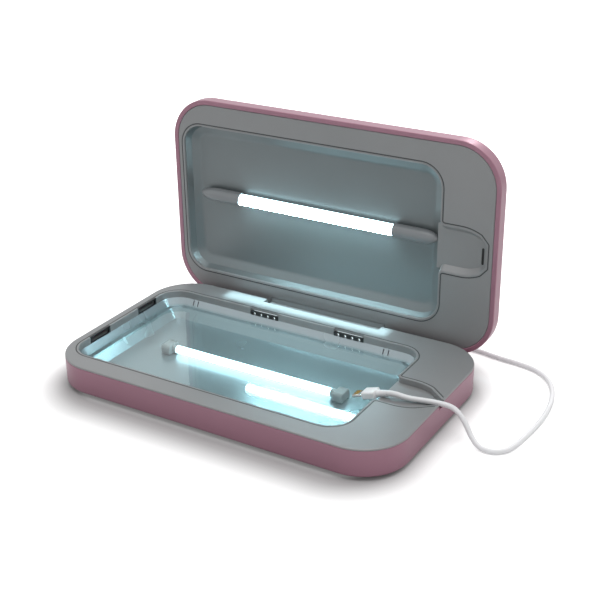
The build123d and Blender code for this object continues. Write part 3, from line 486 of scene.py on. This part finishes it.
class SANITISER_PG_lead(PropertyGroup):
    """Sizes of the charging lead."""

    diameter: FloatProperty(
        name="Diameter", description="Outside of the lead's jacket",
        subtype="DISTANCE", unit="LENGTH", min=1 * MM, max=6 * MM, default=3 * MM,
    )
    coil_radius: FloatProperty(
        name="Coil radius", description="Middle of the outer turns of the put-away coil",
        subtype="DISTANCE", unit="LENGTH", min=10 * MM, max=60 * MM, default=20.1 * MM,
    )
    turn_pitch: FloatProperty(
        name="Turn pitch", description="From one turn of the coil to the next",
        subtype="DISTANCE", unit="LENGTH", min=1 * MM, max=10 * MM, default=3.1 * MM,
    )
    points_per_turn: IntProperty(
        name="Points per turn", description="Control points in each turn of the coil",
        min=12, max=48, default=24,
    )


class SANITISER_PG_plugs(PropertyGroup):
    """Sizes of the two plugs on the lead, in metres."""

    tilt: FloatProperty(
        name="Connector tilt", description="How far the connector's rear end is raised",
        subtype="ANGLE", unit="ROTATION", default=math.radians(16.9),
    )
    contact_count: IntProperty(
        name="Contacts", description="Gold contacts on each face of the connector's tip",
        min=1, max=16, default=8,
    )
    relief_rings: IntProperty(
        name="Relief rings", description="Grooves along the plug's strain relief",
        min=0, max=12, default=5,
    )


class SANITISER_PG_stage(PropertyGroup):
    """Camera and light."""

    azimuth: FloatProperty(
        name="Azimuth", description="Camera's angle round the box",
        subtype="ANGLE", unit="ROTATION", default=math.radians(31.18),
    )
    elevation: FloatProperty(
        name="Elevation", description="Camera's height above the horizon",
        subtype="ANGLE", unit="ROTATION", default=math.radians(25.02),
    )
    roll: FloatProperty(
        name="Roll", description="Camera's roll",
        subtype="ANGLE", unit="ROTATION", default=math.radians(-0.77),
    )
    distance: FloatProperty(
        name="Distance", description="Camera to the point that it looks at",
        subtype="DISTANCE", unit="LENGTH", default=0.7052,
    )
    target: FloatVectorProperty(
        name="Target", description="Point that the camera looks at",
        subtype="TRANSLATION", unit="LENGTH", size=3, default=(-0.00055, 0.0313, 0.03828),
    )
    lens: FloatProperty(
        name="Lens", description="Focal length in millimetres on a 36 mm wide sensor",
        min=10, max=300, default=70.8,
    )
    sky: FloatProperty(
        name="Sky", description="Level of the even light from all round",
        min=0, max=2, default=0.55,
    )
    overhead_power: FloatProperty(
        name="Overhead power", description="Power of the wide light above, in watts",
        min=0, max=100, default=8.0,
    )
    back_power: FloatProperty(
        name="Back power", description="Power of the light behind on the right, in watts",
        min=0, max=100, default=2.5,
    )


# ---------------------------------------------------------------- pieces


# Sizes of the modelled pieces, in millimetres: the collar of a lamp holder ...
collar_length = 2.6
collar_overlap = 0.2
collar_inset = 0.3
# ... the strain relief behind the supply plug ...
relief_end_radius = 1.75
groove_depth = 0.86             # share of the radius that a groove leaves
# ... and the phone connector with its blade, contacts and sleeve.
connector_size = (8.0, 7.8, 4.4)
blade_size = (6.6, 6.7, 1.5)
contact_size = (3.0, 0.42, 0.12)
contact_pitch = 0.62
contact_forward = 1.2
sleeve_length = 6.0
sleeve_radius = 2.0
sleeve_end_radius = 1.7
sleeve_collar = 1.12            # share by which the sleeve's collar is wider


class SANITISER_OT_casings(Operator):
    """Paint the base and lid casings"""

    bl_idname = "sanitiser.casings"
    bl_label = "Casings"

    def execute(self, context):
        look = context.scene.sanitiser_casing
        give(casing_paint(look.paint), "base_shell", "lid_shell")
        return {"FINISHED"}


class SANITISER_OT_decks(Operator):
    """Finish the decks and the hinge leaf"""

    bl_idname = "sanitiser.decks"
    bl_label = "Decks"

    def execute(self, context):
        look = context.scene.sanitiser_casing
        grey = moulded("deck_grey", look.deck, 0.42, metallic=0.25)
        give(grey, "base_deck", "lid_deck", "hinge_block")
        return {"FINISHED"}


class SANITISER_OT_chambers(Operator):
    """Finish the reflectors, the glass bed, the seals and the inserts in the walls"""

    bl_idname = "sanitiser.chambers"
    bl_label = "Chambers"

    def execute(self, context):
        look = context.scene.sanitiser_casing
        low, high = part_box("vent_grille_left")
        # The tray glows behind the vent grilles and above their foot: painted light in place of the lamp
        # light seen through the vent slots.
        tray = reflector_satin(
            "base_reflector_satin", look.tray, 0.6, 0.22,
            glow=(0.85, 0.97, 1.0), painted_glow_past=(high.y, low.z),
        )
        give(tray, "base_reflector")
        give(reflector_satin("lid_reflector_satin", look.recess, 0.45, 0.32), "lid_reflector")
        give(bed_glass((0.93, 0.97, 0.97)), "glass_plate")
        give(moulded("seal_rubber", look.seal, 0.7), "base_light_seal", "lid_light_seal")
        black = moulded("insert_black", screen(15, 16, 17), 0.45)
        give(black, "vent_grille_left", "vent_grille_right", "sound_port_front", "sound_port_rear")
        give(black, "cable_baffle", "lid_sensor", "dc_inlet")
        return {"FINISHED"}


class SANITISER_OT_lamps(Operator):
    """Light the lamps and finish their covers and holders"""

    bl_idname = "sanitiser.lamps"
    bl_label = "Lamps"

    def execute(self, context):
        lamps = context.scene.sanitiser_lamps
        look = context.scene.sanitiser_casing
        lid_glow = lamp_light(
            "lid_lamp_light", lamps.light, lamps.strength, *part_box("lid_lamp"),
            lamps.backwards, lamps.downwards,
        )
        give(lid_glow, "lid_lamp")
        base_glow = lamp_light("base_lamp_light", lamps.light, lamps.base_strength, *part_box("base_lamp"))
        give(base_glow, "base_lamp")
        cover = moulded("cover_grey", look.cover, 0.3, coat=0.3)
        give(cover, "lamp_cover_left", "lamp_cover_right")
        rubber = moulded("holder_rubber", screen(168, 173, 175), 0.5)
        for holder, towards in (("lamp_holder_left", 1), ("lamp_holder_right", -1)):
            low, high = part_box(holder)
            width, depth, height = (high - low) / MM
            block_width = width - collar_length + collar_overlap
            block = soft_block(f"{holder}_block", (block_width, depth, height), 1.6, 0.9)
            shift = towards * (width - block_width) / 2 * MM
            turned(block, middle(holder) - Vector((shift, 0, 0)))
            fitted(block, "base", "holder_grey", rubber, holder)
            collar = added(
                bpy.ops.mesh.primitive_cylinder_add, f"{holder}_collar", vertices=40,
                radius=(min(depth, height) / 2 - collar_inset) * MM, depth=collar_length * MM,
            )
            shift = towards * (width - collar_length) / 2 * MM
            turned(collar, middle(holder) + Vector((shift, 0, 0)), math.radians(90))
            smooth(collar)
            fitted(collar, "base", "holder_grey", rubber)
        return {"FINISHED"}


class SANITISER_OT_hardware(Operator):
    """Finish the feet, screws, pins, boards and ports"""

    bl_idname = "sanitiser.hardware"
    bl_label = "Hardware"

    def execute(self, context):
        feet = [name for name in nodes if name.startswith("foot_")]
        give(moulded("foot_rubber", screen(52, 52, 54), 0.75, grain=0.3 * MM, depth=0.02 * MM), *feet)
        steel = plated("zinc_steel", screen(186, 188, 190), 0.32)
        give(steel, "casing_screws", "hinge_screws", "hinge_pin_left", "hinge_pin_right", "lid_magnet")
        give(plated("nickel_plate", screen(205, 205, 203), 0.22), "usb_port", "usb_plug_nose")
        give(circuit_board(screen(38, 96, 58)), "main_board", "port_board")
        give(moulded("driver_tape", screen(190, 160, 60), 0.4), "lamp_driver")
        return {"FINISHED"}


class SANITISER_OT_plug(Operator):
    """Model the supply plug and its strain relief behind the box"""

    bl_idname = "sanitiser.plug"
    bl_label = "Supply plug"

    def execute(self, context):
        plugs = context.scene.sanitiser_plugs
        white = moulded("plug_white", screen(232, 232, 233), 0.32, depth=0.002 * MM, coat=0.2)
        low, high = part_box("usb_plug")
        body = soft_block("usb_plug_body", (high - low) / MM, 1.4, 0.7, along=1)
        turned(body, middle("usb_plug"))
        fitted(body, "base", "plug_white", white, "usb_plug")

        jacket = moulded("relief_white", screen(222, 222, 224), 0.5)
        low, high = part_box("plug_relief")
        relief = added(
            bpy.ops.mesh.primitive_cone_add, "plug_relief_boot", vertices=40,
            radius1=(high.x - low.x) / 2, radius2=relief_end_radius * MM, depth=high.y - low.y,
        )
        rings = plugs.relief_rings
        with Shaping(relief) as shaping:
            shaping.choose("edges", rises)
            bpy.ops.mesh.subdivide(number_cuts=4 * rings + 3)
            step = (high.y - low.y) / (4 * rings + 4)
            start = -(high.y - low.y) / 2
            for ring in range(rings):
                groove = start + step * (4 * ring + 4.5)
                shaping.choose("verts", lambda vert: abs(vert.co.z - groove) < step * 0.75)
                bpy.ops.transform.resize(
                    value=(groove_depth, groove_depth, 1), center_override=(0, 0, 0)
                )
        smooth(relief, 50)
        turned(relief, middle("plug_relief"), math.radians(-90), "X")
        fitted(relief, "base", "lead_white", jacket, "plug_relief")
        return {"FINISHED"}


class SANITISER_OT_connector(Operator):
    """Model the phone connector that lies in the chamber"""

    bl_idname = "sanitiser.connector"
    bl_label = "Phone connector"

    def execute(self, context):
        plugs = context.scene.sanitiser_plugs
        white = moulded("connector_white", screen(236, 236, 237), 0.28, depth=0.002 * MM, coat=0.25)
        body = soft_block("connector_body", connector_size, 1.2, 0.35)
        turned(body, middle("connector"), -plugs.tilt)
        fitted(body, "base", "plug_white", white, "connector")

        nickel = plated("blade_nickel", screen(200, 200, 198), 0.25)
        tip = soft_block("connector_blade", blade_size, 0.6, 0.3)
        turned(tip, middle("connector_tip"), -plugs.tilt)
        fitted(tip, "base", "port_metal", nickel, "connector_tip")

        gold = plated("contact_gold", screen(226, 190, 112), 0.2)
        for face, side in (("lower", -1), ("upper", 1)):
            height = side * blade_size[2] / 2 * MM
            for index in range(plugs.contact_count):
                across = (index - (plugs.contact_count - 1) / 2) * contact_pitch * MM
                contact = soft_block(f"contact_{face}_{index + 1}", contact_size, 0.04, 0.04)
                contact.data.transform(Matrix.Translation((-contact_forward * MM, across, height)))
                turned(contact, middle("connector_tip"), -plugs.tilt)
                fitted(contact, "base", "port_metal", gold)

        boot = added(
            bpy.ops.mesh.primitive_cone_add, "connector_boot_sleeve", vertices=40,
            radius1=sleeve_radius * MM, radius2=sleeve_end_radius * MM, depth=sleeve_length * MM,
        )
        with Shaping(boot) as shaping:
            shaping.choose("edges", rises)
            bpy.ops.mesh.subdivide(number_cuts=5)
            shaping.choose("verts", lambda vert: vert.co.z < -1.9 * MM)
            bpy.ops.transform.resize(value=(sleeve_collar, sleeve_collar, 1), center_override=(0, 0, 0))
        smooth(boot, 50)
        boot.data.transform(Matrix.Rotation(math.radians(90), 4, "Y"))
        turned(boot, middle("connector_boot"), -plugs.tilt)
        jacket = moulded("boot_white", screen(228, 228, 230), 0.45)
        fitted(boot, "base", "lead_white", jacket, "connector_boot")
        return {"FINISHED"}


# The lead's route in metres, from the supply plug's relief to the coil ...
rear_route = [
    (0.0620, 0.0886, 0.00725),
    (0.0620, 0.0980, 0.00725),
    (0.0602, 0.1084, 0.0064),
    (0.0534, 0.1174, 0.0050),
    (0.0430, 0.1228, 0.00465),
    (0.0320, 0.1241, 0.00465),
]
# ... and from the coil round the right-hand end and over the outlet to the connector.
front_route = [
    (0.0320, 0.0839, 0.00155),
    (0.0440, 0.0846, 0.00155),
    (0.0580, 0.0864, 0.00155),
    (0.0740, 0.0890, 0.00155),
    (0.0905, 0.0896, 0.00155),
    (0.1050, 0.0864, 0.00155),
    (0.1195, 0.0854, 0.00155),
    (0.1320, 0.0826, 0.00155),
    (0.1428, 0.0742, 0.00155),
    (0.1498, 0.0602, 0.00155),
    (0.1534, 0.0436, 0.00155),
    (0.1542, 0.0260, 0.00155),
    (0.1528, 0.0094, 0.00155),
    (0.1512, -0.0032, 0.00155),
    (0.1488, -0.0099, 0.00155),
    (0.1430, -0.0140, 0.00155),
    (0.1362, -0.0139, 0.0018),
    (0.1306, -0.0112, 0.0044),
    (0.1266, -0.0086, 0.0086),
    (0.1222, -0.0066, 0.0134),
    (0.1164, -0.0055, 0.0169),
    (0.1090, -0.0059, 0.0173),
    (0.1005, -0.0072, 0.0172),
    (0.0915, -0.0102, 0.0176),
    (0.0836, -0.0116, 0.0194),
    (0.07971, -0.0116, 0.018269),
]


def eased(turn, start, length):
    """0 before a stretch of turn, 1 after it and a smooth rise between."""
    share = min(max((turn - start) / length, 0), 1)
    return share * share * (3 - 2 * share)


def coil_route(lead):
    """Five and a half turns in two layers of three, from the upper outside to the lower."""
    centre = Vector((0.028, 0.104, 0))
    low = 1.55 * MM
    pitch = lead.turn_pitch
    step = 1 / lead.points_per_turn
    shift = 0.12
    points = []
    for index in range(1, round(5.5 / step)):
        turn = index * step
        inwards = eased(turn, 0.5, shift) + eased(turn, 1.5, shift)
        outwards = eased(turn, 3.25, shift) + eased(turn, 4.25, shift)
        radius = lead.coil_radius - pitch * (inwards - outwards)
        height = low + pitch * (1 - eased(turn, 2.375, shift))
        angle = math.pi / 2 + 2 * math.pi * turn
        side = Vector((math.cos(angle), math.sin(angle), 0))
        points.append(centre + side * radius + Vector((0, 0, height)))
    return points


class SANITISER_OT_lead(Operator):
    """Lay the charging lead along its route, with its spare length coiled behind the box"""

    bl_idname = "sanitiser.lead"
    bl_label = "Charging lead"

    def execute(self, context):
        lead = context.scene.sanitiser_lead
        points = [*rear_route, *coil_route(lead), *front_route]
        curve = bpy.data.curves.new("charging_lead", "CURVE")
        curve.dimensions = "3D"
        curve.bevel_depth = lead.diameter / 2
        curve.bevel_resolution = 6
        curve.use_fill_caps = True
        spline = curve.splines.new("NURBS")
        spline.points.add(len(points) - 1)
        for point, place in zip(spline.points, points):
            point.co = (*place, 1)
        spline.order_u = 3
        spline.use_endpoint_u = True
        spline.resolution_u = 8
        cable = bpy.data.objects.new("charging_lead", curve)
        context.collection.objects.link(cable)
        curve.materials.append(moulded("lead_jacket", screen(226, 226, 228), 0.42, grain=0.3 * MM))
        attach(cable, "base")
        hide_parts("cord_front", "cord_coil", "cord_rear")
        return {"FINISHED"}


# ---------------------------------------------------------------- stage


# Lights, in metres: a wide one overhead, and a small one whose gloss shows on the lid's top corner.
overhead_place = (0.10, 0.05, 1.20)
overhead_size = (1.1, 1.1)
back_place = (-0.03, 0.77, 0.69)
back_size = (0.12, 0.12)
# Floor, in metres: rounding and shortening of the base's outline along which its colour is darkened as a
# painted shadow, how far the painted shadow reaches before the plain white comes, and how far the camera's
# extra white does.
outline_corner = 0.024
outline_inset = 0.012
painted_shadow_reach = 0.040
lift_reach = 0.400


class SANITISER_OT_stage(Operator):
    """Set up the floor, the light and the camera"""

    bl_idname = "sanitiser.stage"
    bl_label = "Stage"

    def execute(self, context):
        stage = context.scene.sanitiser_stage
        self.floor()
        self.sky(context, stage)
        self.light("overhead_light", overhead_place, stage.overhead_power, overhead_size, stage.target)
        self.light("back_light", back_place, stage.back_power, back_size, stage.target)
        self.lamp_spill(context.scene.sanitiser_lamps)
        self.camera(context, stage)
        context.scene.view_settings.view_transform = "Standard"
        return {"FINISHED"}

    def floor(self):
        """White floor: darkened close to the box as a painted shadow on top of the real shadows, and
        whiter to the camera further off.
        """
        ground = added(bpy.ops.mesh.primitive_plane_add, "floor", size=8)
        made, finish = new_finish("floor_white")
        low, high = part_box("base_shell")
        centre = (low + high) / 2
        beside = []
        halves = (high.x - centre.x - outline_inset, high.y - centre.y)
        for name, place, half in zip("XY", centre, halves):
            off = (finish.axis(name) - place).compared("ABSOLUTE")
            beside.append((off - (half - outline_corner)).compared("MAXIMUM"))
        distance = (beside[0] * beside[0] + beside[1] * beside[1]) ** 0.5 - outline_corner
        # Painted shadow: the floor's own colour is darker close to the base's outline.
        painted_shadow = finish.ramp(distance / painted_shadow_reach, [
            (0.0, (0.46, 0.46, 0.46)), (0.3, (0.55, 0.55, 0.55)), (0.75, (0.88, 0.88, 0.88)),
        ])
        # Extra white to the camera only: a little painted light right at the base's edge, almost none out
        # to 8 mm, then rising to plain white further off.
        lift = finish.ramp(distance / lift_reach, [
            (0.0, (0.14, 0.14, 0.14)), (0.007, (0.02, 0.02, 0.02)), (0.02, (0.02, 0.02, 0.02)),
            (0.07, (0.42, 0.42, 0.42)), (1.0, (0.9, 0.9, 0.9)),
        ])
        seen = finish.node("ShaderNodeLightPath", output="Is Camera Ray")
        matt = finish.node("ShaderNodeBsdfDiffuse", None, {"Color": painted_shadow})
        glow = finish.node("ShaderNodeEmission", None, {"Color": lift, "Strength": seen})
        finish.close(finish.node("ShaderNodeAddShader", None, {0: matt, 1: glow}))
        ground.data.materials.append(made)

    def sky(self, context, stage):
        """Even light that looks white to the camera and in reflections."""
        world = bpy.data.worlds.new("studio")
        world.use_nodes = True
        context.scene.world = world
        finish = Finish(world.node_tree)
        seen = finish.node("ShaderNodeLightPath", output="Is Camera Ray")
        mirrored = finish.node("ShaderNodeLightPath", output="Is Glossy Ray")
        through = finish.node("ShaderNodeLightPath", output="Is Transmission Ray")
        direct = seen.compared("MAXIMUM", mirrored.compared("MAXIMUM", through))
        strength = stage.sky + direct * (1 - stage.sky)
        background = finish.node("ShaderNodeBackground", None, {"Color": (1, 1, 1), "Strength": strength})
        finish.close(background, "ShaderNodeOutputWorld")

    def light(self, name, place, power, size, target):
        """Rectangular light that faces a point."""
        data = bpy.data.lights.new(name, "AREA")
        data.energy = power
        data.shape = "RECTANGLE"
        data.size, data.size_y = size
        lamp = bpy.data.objects.new(name, data)
        bpy.context.collection.objects.link(lamp)
        lamp.location = place
        lamp.rotation_euler = (Vector(target) - Vector(place)).to_track_quat("-Z", "Y").to_euler()
        return lamp

    def lamp_spill(self, lamps):
        """The lid lamp's light on the rear of the base, low enough to lie inside the closed box."""
        tube = middle("lid_lamp")
        low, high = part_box("lid_lamp")
        strip = Vector((tube.x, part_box("base_deck")[1].y - 6 * MM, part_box("base_deck")[1].z))
        above = strip + Vector((0, 0, 5.5 * MM))
        spill = self.light("lid_lamp_spill", above, lamps.spill_power, (high.x - low.x, 10 * MM), strip)
        spill.data.color = lamps.light
        spill.data.spread = math.radians(90)
        spill.visible_camera = False
        spill.visible_glossy = False

    def camera(self, context, stage):
        """Camera at its angle, distance and roll from the target."""
        flat = math.cos(stage.elevation)
        back = Vector((
            math.sin(stage.azimuth) * flat, -math.cos(stage.azimuth) * flat, math.sin(stage.elevation)
        ))
        side = Vector((0, 0, 1)).cross(back).normalized()
        level = Matrix((side, back.cross(side), back)).transposed()
        data = bpy.data.cameras.new("camera")
        data.lens = stage.lens
        data.sensor_width = 36
        camera = bpy.data.objects.new("camera", data)
        context.collection.objects.link(camera)
        turn = Matrix.Rotation(stage.roll, 3, "Z")
        camera.matrix_world = Matrix.Translation(Vector(stage.target) + back * stage.distance) @ (
            level @ turn
        ).to_4x4()
        context.scene.camera = camera


# ---------------------------------------------------------------- add-on


class SANITISER_PT_panel(Panel):
    """Buttons that dress the sanitiser box"""

    bl_label = "Phone Sanitiser Box"
    bl_idname = "SANITISER_PT_panel"
    bl_space_type = "VIEW_3D"
    bl_region_type = "UI"
    bl_category = "Sanitiser"

    def draw(self, context):
        for operator in operators:
            self.layout.operator(operator.bl_idname)
        for group in settings:
            box = self.layout.box()
            values = getattr(context.scene, group)
            for name in values.bl_rna.properties.keys():
                if name not in ("rna_type", "name"):
                    box.prop(values, name)


settings = {
    "sanitiser_casing": SANITISER_PG_casing,
    "sanitiser_lamps": SANITISER_PG_lamps,
    "sanitiser_lead": SANITISER_PG_lead,
    "sanitiser_plugs": SANITISER_PG_plugs,
    "sanitiser_stage": SANITISER_PG_stage,
}
operators = [
    SANITISER_OT_casings,
    SANITISER_OT_decks,
    SANITISER_OT_chambers,
    SANITISER_OT_lamps,
    SANITISER_OT_hardware,
    SANITISER_OT_plug,
    SANITISER_OT_connector,
    SANITISER_OT_lead,
    SANITISER_OT_stage,
]


def register():
    for group in settings.values():
        bpy.utils.register_class(group)
    for name, group in settings.items():
        setattr(bpy.types.Scene, name, PointerProperty(type=group))
    for operator in operators:
        bpy.utils.register_class(operator)
    bpy.utils.register_class(SANITISER_PT_panel)


def unregister():
    bpy.utils.unregister_class(SANITISER_PT_panel)
    for operator in reversed(operators):
        bpy.utils.unregister_class(operator)
    for name in settings:
        delattr(bpy.types.Scene, name)
    for group in reversed(settings.values()):
        bpy.utils.unregister_class(group)


def main():
    register()
    for operator in operators:
        family, name = operator.bl_idname.split(".")
        getattr(getattr(bpy.ops, family), name)()


if __name__ == "__main__":
    main()
